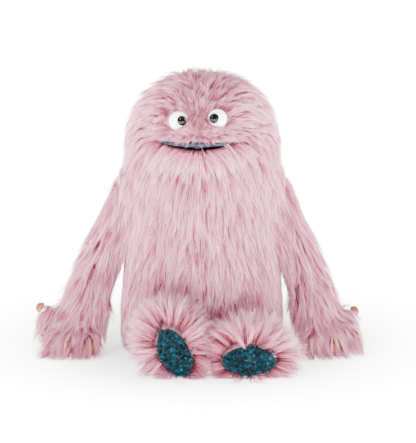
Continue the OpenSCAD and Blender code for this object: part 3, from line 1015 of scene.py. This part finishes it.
def grow_body(spacing, per):
    """Fur of the torso, chin, neck and head, from one even field of roots."""
    loft = grid_mesh("loft", np.array([loft_row(z, ROUND) for z in np.concatenate(
        [band(3 * MM, NECK_TOP, 8 * MM)[:-1], head_heights()])]))
    p, n = scatter(loft, body_field, spacing)
    bpy.data.meshes.remove(loft)
    front = (np.abs(p[:, 0] - FACE_X) < 51 * MM) & (p[:, 1] < FOLD[1])
    lowest = THROAT_TOP + 9 * MM * np.minimum(off_middle(p), 1) ** 2.2
    mouth = front & (p[:, 2] > lowest) & (p[:, 2] < LIP_TOP + 1 * MM)
    hidden = np.zeros(len(p), bool)
    for form in [MUZZLE] + [g[s] for g in (ARM, LEG, FOOT) for s in SIDES]:
        hidden |= form(p) < -2 * MM
    eye = np.zeros(len(p), bool)
    for s in SIDES:
        eye |= about_axis(p, EYES[s], EYE_AXIS[s])[2] < 12.5 * MM
    eye &= p[:, 1] < FOLD[1]
    keep = ~(mouth | hidden | eye) & (p[:, 2] > 3 * MM)
    p, n, front = p[keep], n[keep], front[keep]
    length, height = body_lengths(p)
    paths = grow(p, n, comb_body, length, height, 1.6, 11, curl=0.11)
    over = np.maximum(np.abs(paths[..., 0]) - SHOULDER_EDGE, 0)
    paths[..., 0] -= np.sign(paths[..., 0]) * give(over, 7 * MM)
    tone = tones(p, 21, 0.60 - 0.15 * smooth(p[:, 2], CROWN - 45 * MM, CROWN - 5 * MM))
    throat = front & (p[:, 2] > THROAT_LOW) & (p[:, 2] < LIP_TOP)
    head = ~throat & ((p[:, 2] > NECK_TOP) | front & (p[:, 2] > FOLD[2]))
    torso = ~throat & ~head & (p[:, 2] < NECK_LOW)
    neck = ~throat & ~head & ~torso
    for name, mask, tight, attach in (
            ("body_hair", torso, 0.94, riding("torso")),
            ("chin_hair", throat, 0.90, turning("torso", "jaw", THROAT_WAY)),
            ("neck_hair", neck, 0.88, turning("torso", "head", NECK_WAY)),
            ("head_hair", head, 0.80, riding("head"))):
        hair_pieces(name, paths[mask], n[mask], tone[mask], per, 4.0 * MM, 0.66 * MM, attach,
                    tight)


def grow_part(name, mesh, field, spacing, comb, length, height, per, attach, seed,
              avoid=(), droop=0.0, base=0.5, lift=1.7, keep=None, spread=3.4 * MM, width=0.66 * MM,
              curl=0.12, free=False, forms=ALL_FORMS):
    p, n = scatter(mesh, field, spacing)
    ok = p[:, 2] > 1.5 * MM
    for form in avoid:
        ok &= (probe(form, p)[0] if form is body_field else form(p)) > -1 * MM
    for centre, axis, radius, near, far in WINDOWS:
        along, _, r = about_axis(p, centre, axis)
        ok &= ~((r < radius) & (along > near) & (along < far))
    if keep is not None:
        ok &= keep(p, n)
    p, n = p[ok], n[ok]
    size = rng.uniform(0.85, 1.12, len(p))
    for thumb in (NAIL_AT[s][0] for s in SIDES):
        size = np.where(np.linalg.norm(p - thumb, axis=1) < 15 * MM, size * 0.6, size)
    high = height(p) if callable(height) else height
    paths = grow(p, n, comb, length * size, high * size, lift, seed, curl, droop, free,
                 forms=forms)
    hair_pieces(name, paths, n, tones(p, seed + 5, base), per, spread, width, attach)


def grow_lip(name, body, x, z, inset, curve, lean, length, height, lift, seed, curl, crossing,
             base, per, spread, width):
    """Fur along one edge of the mouth, at offsets x from its middle."""
    reach = np.sqrt((MOUTH_ROUND - inset) ** 2 - np.minimum(np.abs(x), 50 * MM) ** 2)
    p = np.stack([x + FACE_X, FOLD[1] - 12 * MM - reach, z], axis=1)
    n = unit(np.stack([x / curve, np.full(len(x), -1.0), np.full(len(x), lean)], axis=1))
    long = rng.uniform(*length, len(x)) * MM
    paths = grow(p, n, comb_body, long, np.full(len(x), height), lift, seed, curl=curl,
                 crossing=crossing)
    hair_pieces(name, paths, n, tones(p, seed + 2, base), per, spread, width, riding(body))


def grow_lips():
    """Fur at both edges of the mouth: it hides the seam and makes the mouth a crescent."""
    x = np.repeat(np.linspace(-52, 52, 46) * MM, 3) + rng.normal(size=138) * 0.8 * MM
    k = np.tile(np.arange(3), 46)
    low = 283.4 * MM - 2.4 * MM * k + 8 * MM * (np.abs(x) / (50 * MM)) ** 2.2
    grow_lip("lower_lip_hair", "jaw", x, low, -0.8 * MM, 75 * MM, 0.25, (30, 44), 15 * MM, 1.5, 81,
             0.1, 0, 0.55, 12, 2.2 * MM, 0.62 * MM)
    grow_lip("upper_lip_hair", "head", x, 297.5 * MM + 1.8 * MM * k, 2.0 * MM, 90 * MM, 0.3,
             (10, 19), 12 * MM, 1.4, 85, 0.25, 0.17, 0.45, 7, 1.8 * MM, 0.55 * MM)


def grow_corners():
    """Fur that falls over both ends of the mouth, where the head's skin meets the chin's."""
    for s, corner in CORNER.items():
        z = np.repeat(band(230 * MM, 287 * MM, 2.6 * MM), 4)
        z = z + rng.normal(size=len(z)) * 0.8 * MM
        angle = FORWARD + corner + SIDES[s] * rng.uniform(-0.005, 0.07, len(z))
        p = np.array([loft_row(h, np.array([a]))[0] for h, a in zip(z, angle)])
        n = probe(body_field, p)[1]
        inward = np.array([-0.85 * SIDES[s], 0, 0])
        length = rng.uniform(18, 30, len(z)) * MM
        paths = grow(p, n, lambda q: comb_body(q) + inward, length, np.full(len(z), 11 * MM),
                     1.6, 91 + SIDES[s], curl=0.12, crossing=0)
        hair_pieces(f"corner_hair_{s}", paths, n, tones(p, 95, 0.55), 11, 2.8 * MM, 0.62 * MM,
                    turning("torso", "head", NECK_WAY), 0.88)


def comb_muzzle(p):
    """Short fur that swirls outwards from the middle of the muzzle."""
    d = p - MUZZLE_AT - np.array([0, 0, 4 * MM])
    swirl = np.stack([-d[:, 2], np.zeros(len(p)), d[:, 0]], axis=1)
    return unit(d * np.array([1, 0.2, 1])) + unit(swirl) * 0.4 * np.sign(d[:, :1])


def below_shoulder(s):
    """The arm's fur stands higher the further it is below the shoulder."""
    return lambda p: (9 + 8 * smooth(SHOULDER[s][2] - p[:, 2], 5 * MM, 50 * MM)) * MM


def behind_sole(p):
    """The foot's fur stands highest round the sole."""
    return (14 + 12 * (1 - smooth(p[:, 1] - SOLE_FRONT, 8 * MM, 40 * MM))) * MM


def grow_fur(skins, muzzle):
    grow_body(5.8 * MM, 12)
    grow_lips()
    grow_corners()
    grow_part("muzzle_hair", muzzle.data, MUZZLE, 3.4 * MM, comb_muzzle, 15 * MM, 6 * MM, 7,
              riding("head"), 31, avoid=[body_field], spread=2.2 * MM,
              width=0.6 * MM, base=0.42, keep=lambda p, n: p[:, 2] > LIP_TOP, curl=0.35)
    for s, sign in SIDES.items():
        arm, hand, leg, foot = (skin.data for skin in skins[s])
        shade = 0.5 if s == "left" else 0.42
        along_arm = steady(ARM_LONG[s] + 0.35 * DOWN)
        along_leg = steady(unit(SOLE[s] - HIP[s]) * 0.4 + DOWN * 0.5)
        grow_part(f"arm_hair_{s}", arm, ARM[s], 5.4 * MM, along_arm, 54 * MM, below_shoulder(s), 11,
                  at_shoulder(s), 41 + sign, avoid=[body_field, HAND[s]])
        grow_part(f"shoulder_hair_{s}", arm, ARM[s], 4.4 * MM, along_arm, 40 * MM, 9 * MM, 11,
                  at_shoulder(s), 46 + sign, forms=[ARM[s]],
                  keep=lambda p, n: np.abs(body_field(p) * 85 + 12) < 12)
        grow_part(f"hand_hair_{s}", hand, HAND[s], 4.4 * MM, comb_hand(s), 44 * MM, 9 * MM, 10,
                  at_wrist(s), 51 + sign, base=shade + 0.08, droop=0.22, free=True, curl=0.08)
        grow_part(f"leg_hair_{s}", leg, LEG[s], 5 * MM, along_leg, 38 * MM, 12 * MM, 9,
                  riding(f"leg_{s}"), 61 + sign, avoid=[FOOT[s]],
                  keep=lambda p, n: body_field(p) * 85 > -22, forms=[LEG[s], FOOT[s]])
        grow_part(f"foot_hair_{s}", foot, FOOT[s], 4.2 * MM, comb_foot(s), 42 * MM, behind_sole, 11,
                  riding(f"leg_{s}"), 71 + sign, avoid=[body_field, LEG[s]], base=0.58, lift=1.1,
                  droop=0.16, free=True, curl=0.07)


# ---- eyes, mouth, nails and soles

def axes_about(way):
    """A turn whose Z points along way and whose Y leans upwards."""
    z = unit(np.array(way, float))
    x = unit(np.cross([0, 0, 1.0], z))
    return np.stack([x, np.cross(z, x), z], axis=1)


def lathe(name, profile, centre, axis, steps=64):
    """A closed turned form. Its profile runs as (radius, height) from one pole to the other."""
    turn = axes_about(axis)
    a = circle(steps)
    rows = [np.stack([r * np.cos(a), r * np.sin(a), np.full(steps, h)], axis=1) @ turn.T + centre
            for r, h in profile]
    return tidy_normals(grid_mesh(name, np.array(rows)))


def cap_profile(radius, low, edge, top, rounding=1.0 * MM, steps=16):
    """From the back's middle, round the rim and over a domed front."""
    rim = radius - rounding
    rows = [(1e-6, low), (rim, low)]
    for t in np.linspace(0, math.pi / 2, 5):
        rows.append((rim + rounding * math.sin(t), low + rounding - rounding * math.cos(t)))
    for t in np.linspace(0, math.pi / 2, steps):
        rows.append((max(radius * math.cos(t), 1e-6), edge + (top - edge) * math.sin(t)))
    return rows


def make_eyes():
    for s in SIDES:
        white = lathe(f"eye_{s}", cap_profile(EYE_RADIUS, -5.5 * MM, -2.5 * MM, 5.5 * MM),
                      EYES[s], EYE_AXIS[s])
        finish_piece(white, EYE_GLOSS, riding("head"), [f"eye_white_{s}"])
        pupil = lathe(f"pupil_dome_{s}", cap_profile(PUPIL_RADIUS, -3.5 * MM, 0.4 * MM, 4.4 * MM),
                      middle(f"pupil_{s}"), EYE_AXIS[s], steps=48)
        finish_piece(pupil, PUPIL_GLOSS, riding("head"), [f"pupil_{s}"])


def wrinkle(x, seed, waves_per_m):
    """Uneven small folds along a line."""
    r = np.random.default_rng(seed)
    total = 0
    for _ in range(6):
        total = total + np.sin(x * waves_per_m * r.uniform(0.5, 1.6) + r.uniform(0, 6.3))
    return total / 6


def make_lining(name, node, up, bulge, seed, setback=0.0):
    """Satin over one mouth board, rolled over at the lip. Rows run round its profile."""
    half = MOUTH_HALF
    r = MOUTH_ROUND - setback
    centre_y = FOLD[1] - 12 * MM
    slope = math.tan(math.radians(3)) * up
    columns = []
    for x in np.linspace(-half, half, 150):
        taper = max(1 - (abs(x) / half) ** 2.2, 0.04) ** 0.8
        edge = centre_y - math.sqrt(max(r * r - x * x, 0))
        size = bulge * taper * (1 + 0.09 * wrinkle(x, seed, 900))
        back = FOLD[1] - 4 * MM
        lip_y = edge - 0.2 * size
        lift = 0.9 * MM * up
        rows = []
        for t in np.linspace(0, 1, 22):
            y = back + (lip_y + size * 0.9 - back) * t
            puff = 0.7 * MM * math.sin(math.pi * t) * wrinkle(x + 3 * y, seed + 1, 260)
            rows.append((x, y, FOLD[2] + slope * (FOLD[1] - y) + puff * up))
        mid_z = FOLD[2] + slope * (FOLD[1] - lip_y) + lift
        for t in np.linspace(-0.42, 1.25, 18) * math.pi:
            fold = 1 + 0.10 * wrinkle(x + 4 * t * MM, seed + 2, 1400)
            rows.append((x, lip_y - 1.05 * size * fold * math.cos(t - 0.4 * math.pi) * 0.95,
                         mid_z + up * size * fold * math.sin(t - 0.4 * math.pi)))
        for t in np.linspace(0.15, 1, 12):
            y = lip_y + size * 0.8 + (back - lip_y - size * 0.8) * t
            rows.append((x, y, FOLD[2] + slope * (FOLD[1] - y) + 1.5 * MM * up))
        columns.append(rows)
    points = np.array(columns) + np.array([FACE_X, 0, 0])
    mesh = cap_columns(grid_mesh(name, points), points.shape[1], points.shape[0])
    finish_piece(mesh, SATIN, riding("head" if up > 0 else "jaw"), [node])


def make_cheeks():
    """Satin walls at both ends of the boards: they close the gap up to the head's skin."""
    heights = band(238 * MM, 299 * MM, 3 * MM)
    for s, corner in CORNER.items():
        rows = []
        for z in heights:
            front = loft_row(z, np.array([FORWARD + corner]))[0]
            back = np.array([FACE_X + SIDES[s] * (MOUTH_HALF + 2.5 * MM), FOLD[1] - 1 * MM, z])
            t = np.linspace(0.02, 1, 24)[:, None]
            line = front * (1 - t) + back * t
            puff = 0.5 * MM * wrinkle(line[:, 1] + 3 * z, 12, 500)
            line[:, 0] += SIDES[s] * (-1.3 * MM + puff * np.sin(math.pi * t[:, 0]))
            other = line[::-1] + np.array([SIDES[s] * 1.1 * MM, 0, 0])
            rows.append(np.concatenate([line, other]))
        mesh = cap_ends(grid_mesh(f"cheek_satin_{s}", np.array(rows)), 48, len(heights))
        finish_piece(mesh, SATIN, turning("torso", "head", NECK_WAY))


def make_mouth():
    make_lining("upper_mouth_satin", "upper_mouth_lining", 1, 4.4 * MM, 5)
    make_lining("lower_mouth_satin", "lower_mouth_lining", -1, 0.8 * MM, 6, 7 * MM)
    lo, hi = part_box("mouth_fold")

    def at(x, a):
        size = 2.1 * MM * (1 + 0.12 * wrinkle(x + 2 * a * MM, 8, 1500))
        return x, FOLD[1] + size * math.cos(a), FOLD[2] + size * math.sin(a)

    mesh = grid_mesh("mouth_fold_satin", rows_of(np.linspace(lo[0], hi[0], 60), circle(18), at))
    finish_piece(cap_columns(mesh, 18, 60), SATIN, riding("head"), ["mouth_fold"])


def make_nails():
    """Domed pads curved round the fingers. A thumb's is plump and stands proud of the fur."""
    steps = np.linspace(0, math.pi, 16)
    for s in SIDES:
        for nail, middle_at in zip(NAILS, NAIL_AT[s]):
            turn = axes_about(facing(f"{nail}_{s}", PALM[s]))
            plump, proud = (3.0, 3.4 * MM) if nail == NAILS[0] else (1.0, 2 * MM)

            def at(t, a):
                r = NAIL_RADIUS * math.sin(t) ** 0.7 + 1e-6
                x, y = r * math.cos(a), r * 1.1 * math.sin(a)
                bend = (x * x + 0.6 * y * y) / (18 * MM)
                thick = (1.75 if t > math.pi / 2 else 1.2) * MM * plump
                z = -math.cos(t) * thick - bend + 1.4 * MM
                return turn @ np.array([x, y, z + proud]) + middle_at

            mesh = grid_mesh(f"{nail}_pad_{s}", rows_of(steps, circle(40), at))
            finish_piece(tidy_normals(mesh), NAIL, riding(f"hand_{s}"),
                         [f"{nail}_{s}"])


def yarn_loop(r, clump, x, y, face):
    """One curly loop of a clump of yarn, at x, y in the sole's own directions."""
    reach = min(math.hypot(x, y), 1.04)
    high = 2.0 * math.sin(37 * clump[0] + 61 * clump[1])
    at = np.array([x * 1.06 * SOLE_HALF[0], y * 1.08 * SOLE_HALF[1],
                   face * (1 - 0.3 * reach ** 4) + (high + r.uniform(-0.5, 0.8)) * MM])
    size = r.uniform(1.2, 2.4) * MM
    flat = unit(r.normal(size=3) * np.array([1, 1, 0.7]))
    across = unit(np.cross(flat, r.normal(size=3)))
    out = np.cross(flat, across)
    sweep = r.uniform(0.7, 1.3) * 2 * math.pi
    pitch = r.uniform(0.4, 1.1) * MM
    u = np.linspace(0, sweep, 13)
    path = (at + size * (np.cos(u)[:, None] * across + np.sin(u)[:, None] * out)
            + flat * (u / math.pi * pitch)[:, None])
    path[:, 2] = np.clip(path[:, 2], -1 * MM, face + 5.5 * MM)
    return path


def make_soles():
    """Oval pads whose pile is hundreds of small curly loops of yarn."""
    for s in SIDES:
        r = np.random.default_rng(90 + SIDES[s])
        long_way = SOLE_LONG[s]
        wide_way = np.array([-long_way[2], 0, long_way[0]])
        turn = np.stack([long_way, wide_way, np.array([0, -1.0, 0])], axis=1)
        face = SOLE[s][1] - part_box(f"sole_{s}")[0][1] - 2.0 * MM

        def at(t, a):
            k = math.sin(t) ** 0.45
            x = k * (SOLE_HALF[0] + 2 * MM) * math.cos(a)
            y = k * (SOLE_HALF[1] + 2 * MM) * math.sin(a)
            z = -math.cos(t) * (face if t > math.pi / 2 else 3.2 * MM)
            return turn @ np.array([x, y, z]) + SOLE[s]

        pad = grid_mesh(f"sole_pad_{s}", rows_of(np.linspace(0, math.pi, 22), circle(72), at))
        with_leg = riding(f"leg_{s}")
        finish_piece(tidy_normals(pad), BOUCLE, with_leg, [f"sole_{s}"])
        clumps = [c for c in r.uniform(-1, 1, (240, 2)) if c @ c < 1] * 4
        spots = [(c, *(c + r.normal(size=2) * (0.05, 0.09))) for c in clumps]
        loops = np.array([yarn_loop(r, *spot, face) @ turn.T + SOLE[s] for spot in spots])
        finish_piece(yarn_mesh(f"sole_loops_{s}", loops, 0.6 * MM), BOUCLE, with_leg)


def yarn_mesh(name, paths, radius, around=6):
    """Round closed tubes along many paths of equal length."""
    m, n = paths.shape[:2]
    tangent = unit(np.gradient(paths, axis=1))
    side = unit(np.cross(tangent, np.array([0.31, 0.83, 0.46])))
    top = np.cross(side, tangent)
    a = circle(around)
    size = radius * np.interp(np.arange(n), [0, 1, n - 2, n - 1], [0.35, 1, 1, 0.35])
    ring = (side[:, :, None] * np.cos(a)[None, None, :, None]
            + top[:, :, None] * np.sin(a)[None, None, :, None])
    points = paths[:, :, None] + size[None, :, None, None] * ring
    corners, sizes = [], []
    for k in range(n - 1):
        for j in range(around):
            nxt = (j + 1) % around
            corners += [k * around + j, k * around + nxt,
                        (k + 1) * around + nxt, (k + 1) * around + j]
            sizes.append(4)
    corners += list(range(around - 1, -1, -1))
    corners += list(range((n - 1) * around, n * around))
    sizes += [around, around]
    offset = np.arange(m)[:, None] * n * around
    return array_mesh(name, points.reshape(-1, 3), (offset + np.array(corners)[None]).ravel(),
                      np.tile(sizes, m))


# ---- the sleeve and the seat

def make_sleeve():
    lo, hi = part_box("sleeve_lining")
    radius = (hi[0] - lo[0]) / 2 - 0.7 * MM
    rows = []
    for z in np.linspace(lo[2], hi[2], 60):
        t = (z - lo[2]) / (hi[2] - lo[2])
        r = radius + 0.8 * MM * wrinkle(ROUND * 0.04 + z * 0.5, 12, 260) * (0.4 + t)
        rows.append(np.stack([r * np.cos(ROUND), r * np.sin(ROUND), np.full(COLUMNS, z)], axis=1))
    outer = np.array(rows)
    inner = outer - unit(outer * np.array([1, 1, 0])) * 0.9 * MM
    mesh = grid_mesh("sleeve_cloth", np.concatenate([inner[::-1], outer, inner[-1:]]))
    sleeve = finish_piece(tidy_normals(mesh), SLEEVE_CLOTH, riding("torso"),
                          ["sleeve_lining"])


def make_hem():
    """A gathered roll round the sleeve's opening."""
    lo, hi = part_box("sleeve_hem")
    radius = (hi[0] - lo[0]) / 2 - 2.2 * MM

    def at(v, u):
        pull = 1 - 0.16 * max(0, math.cos(u * 40)) ** 4
        r = radius + 1.9 * MM * math.cos(v) * pull
        return (r * math.cos(u), r * math.sin(u),
                (lo[2] + hi[2]) / 2 + (hi[2] - lo[2]) * 0.49 * math.sin(v))

    rows = rows_of(circle(20), circle(160), at)
    mesh = grid_mesh("sleeve_hem_roll", np.concatenate([rows, rows[:1]]))
    finish_piece(tidy_normals(mesh), SLEEVE_CLOTH, riding("torso"), ["sleeve_hem"])


def make_seat():
    """The seat's cloth: an oval ring round the sleeve, puffed between its two seams."""
    edge = loft_row(3 * MM, ROUND)
    hole = SLEEVE_HOLE * np.stack([np.cos(ROUND), np.sin(ROUND), np.zeros(COLUMNS)], axis=1)
    rows = []
    for t in np.linspace(0, 1, 18):
        ring = hole * (1 - t) + edge * t
        puff = math.sin(math.pi * t) ** 0.5
        ring[:, 2] = (1.3 - 1.2 * puff) * MM + 0.25 * MM * wrinkle(ROUND * 0.1, 3, 300)
        ring[:, 2] = np.maximum(ring[:, 2], 0)
        rows.append(ring)
    low = np.array(rows)
    high = low + np.array([0, 0, 1.5 * MM])
    mesh = grid_mesh("seat_cloth", np.concatenate([low, high[::-1], low[:1]]))
    seat = finish_piece(tidy_normals(mesh), SEAT_CLOTH, riding("torso"),
                        ["seat_panel"])


def dress_inner_nodes():
    """The parts inside that keep their CAD form: fillings, pockets, boards and eye washers."""
    looks = {"stuffing": FIBRE, "pellet": CALICO, "pocket": SLEEVE_CLOTH, "board": BOARD,
             "washer": WASHER}
    for name, node in frame["nodes"].items():
        for word, mat in looks.items():
            if word in name:
                dress(node, mat)


# ---- studio

# Painted light: the floor's glow, strongest away from the puppet.
FLOOR_GLOW = 17.0
FLOOR_RADIUS = 40.0
PHOTO_WIDTH = 0.541  # metres across the picture at the puppet


def soft_light(name, at, size, power, target):
    light = bpy.data.lights.new(name, "AREA")
    light.shape = "RECTANGLE"
    light.size, light.size_y = size
    light.energy = power
    obj = bpy.data.objects.new(name, light)
    obj.location = at
    obj.rotation_euler = (Vector(target) - Vector(at)).to_track_quat("-Z", "Y").to_euler()
    bpy.context.scene.collection.objects.link(obj)


def floor_material():
    """White with painted light: the floor glows, more with distance from the puppet, so that it
    looks white all round and the weaker glow near the puppet is a painted soft shadow round its
    base.
    """
    mat, tree, shader = material("floor_white", 0.1, Base_Color=srgb("fbf8fa"), Roughness=0.6)
    away = tree.nodes.new("ShaderNodeVectorMath")
    away.operation = "LENGTH"
    tree.links.new(object_place(tree), away.inputs[0])
    glow = tree.nodes.new("ShaderNodeMapRange")
    glow.interpolation_type = "SMOOTHSTEP"
    for socket, value in (("From Min", 0.12), ("From Max", 0.42), ("To Min", 1.5),
                          ("To Max", FLOOR_GLOW)):
        glow.inputs[socket].default_value = value
    tree.links.new(away.outputs["Value"], glow.inputs["Value"])
    shader.inputs["Emission Color"].default_value = (1, 1, 1, 1)
    tree.links.new(glow.outputs["Result"], shader.inputs["Emission Strength"])
    return mat


def studio():
    mesh = bpy.data.meshes.new("floor")
    verts = [(FLOOR_RADIUS * math.cos(t), FLOOR_RADIUS * math.sin(t), -0.2 * MM)
             for t in circle(96)]
    mesh.from_pydata(verts, [], [tuple(range(len(verts)))])
    floor = new_object("floor", mesh)
    floor.data.materials.append(floor_material())
    world = bpy.data.worlds.new("white")
    bpy.context.scene.world = world
    world.use_nodes = True
    sky = world.node_tree.nodes["Background"]
    sky.inputs["Color"].default_value = (1, 1, 1, 1)
    sky.inputs["Strength"].default_value = 0.6
    soft_light("key", (-1.0, -1.3, 1.5), (0.7, 0.7), 64, (0, 0, 0.2))
    soft_light("fill", (1.3, -1.0, 0.9), (1.0, 1.0), 16, (0, 0, 0.18))
    soft_light("top", (0.1, 0.2, 1.8), (1.0, 1.0), 50, (0, 0, 0.2))


def camera():
    """A long lens in front and a little above."""
    tilt = math.radians(14)
    up = Vector((0, math.sin(tilt), math.cos(tilt)))
    ahead = Vector((0, math.cos(tilt), -math.sin(tilt)))
    distance = 7.0
    target = Vector((7.7 * MM, FOLD[1], 0)) + up * 164.5 * MM
    data = bpy.data.cameras.new("camera")
    data.sensor_fit = "HORIZONTAL"
    data.sensor_width = 36
    data.lens = data.sensor_width * distance / PHOTO_WIDTH
    cam = bpy.data.objects.new("camera", data)
    cam.location = target - ahead * distance
    cam.rotation_euler = ahead.to_track_quat("-Z", "Y").to_euler()
    bpy.context.scene.collection.objects.link(cam)
    bpy.context.scene.camera = cam


make_body_skins()
limb_skins, muzzle_skin = make_limb_skins()
grow_fur(limb_skins, muzzle_skin)
make_eyes()
make_mouth()
make_cheeks()
make_nails()
make_soles()
make_sleeve()
make_hem()
make_seat()
dress_inner_nodes()
studio()
camera()
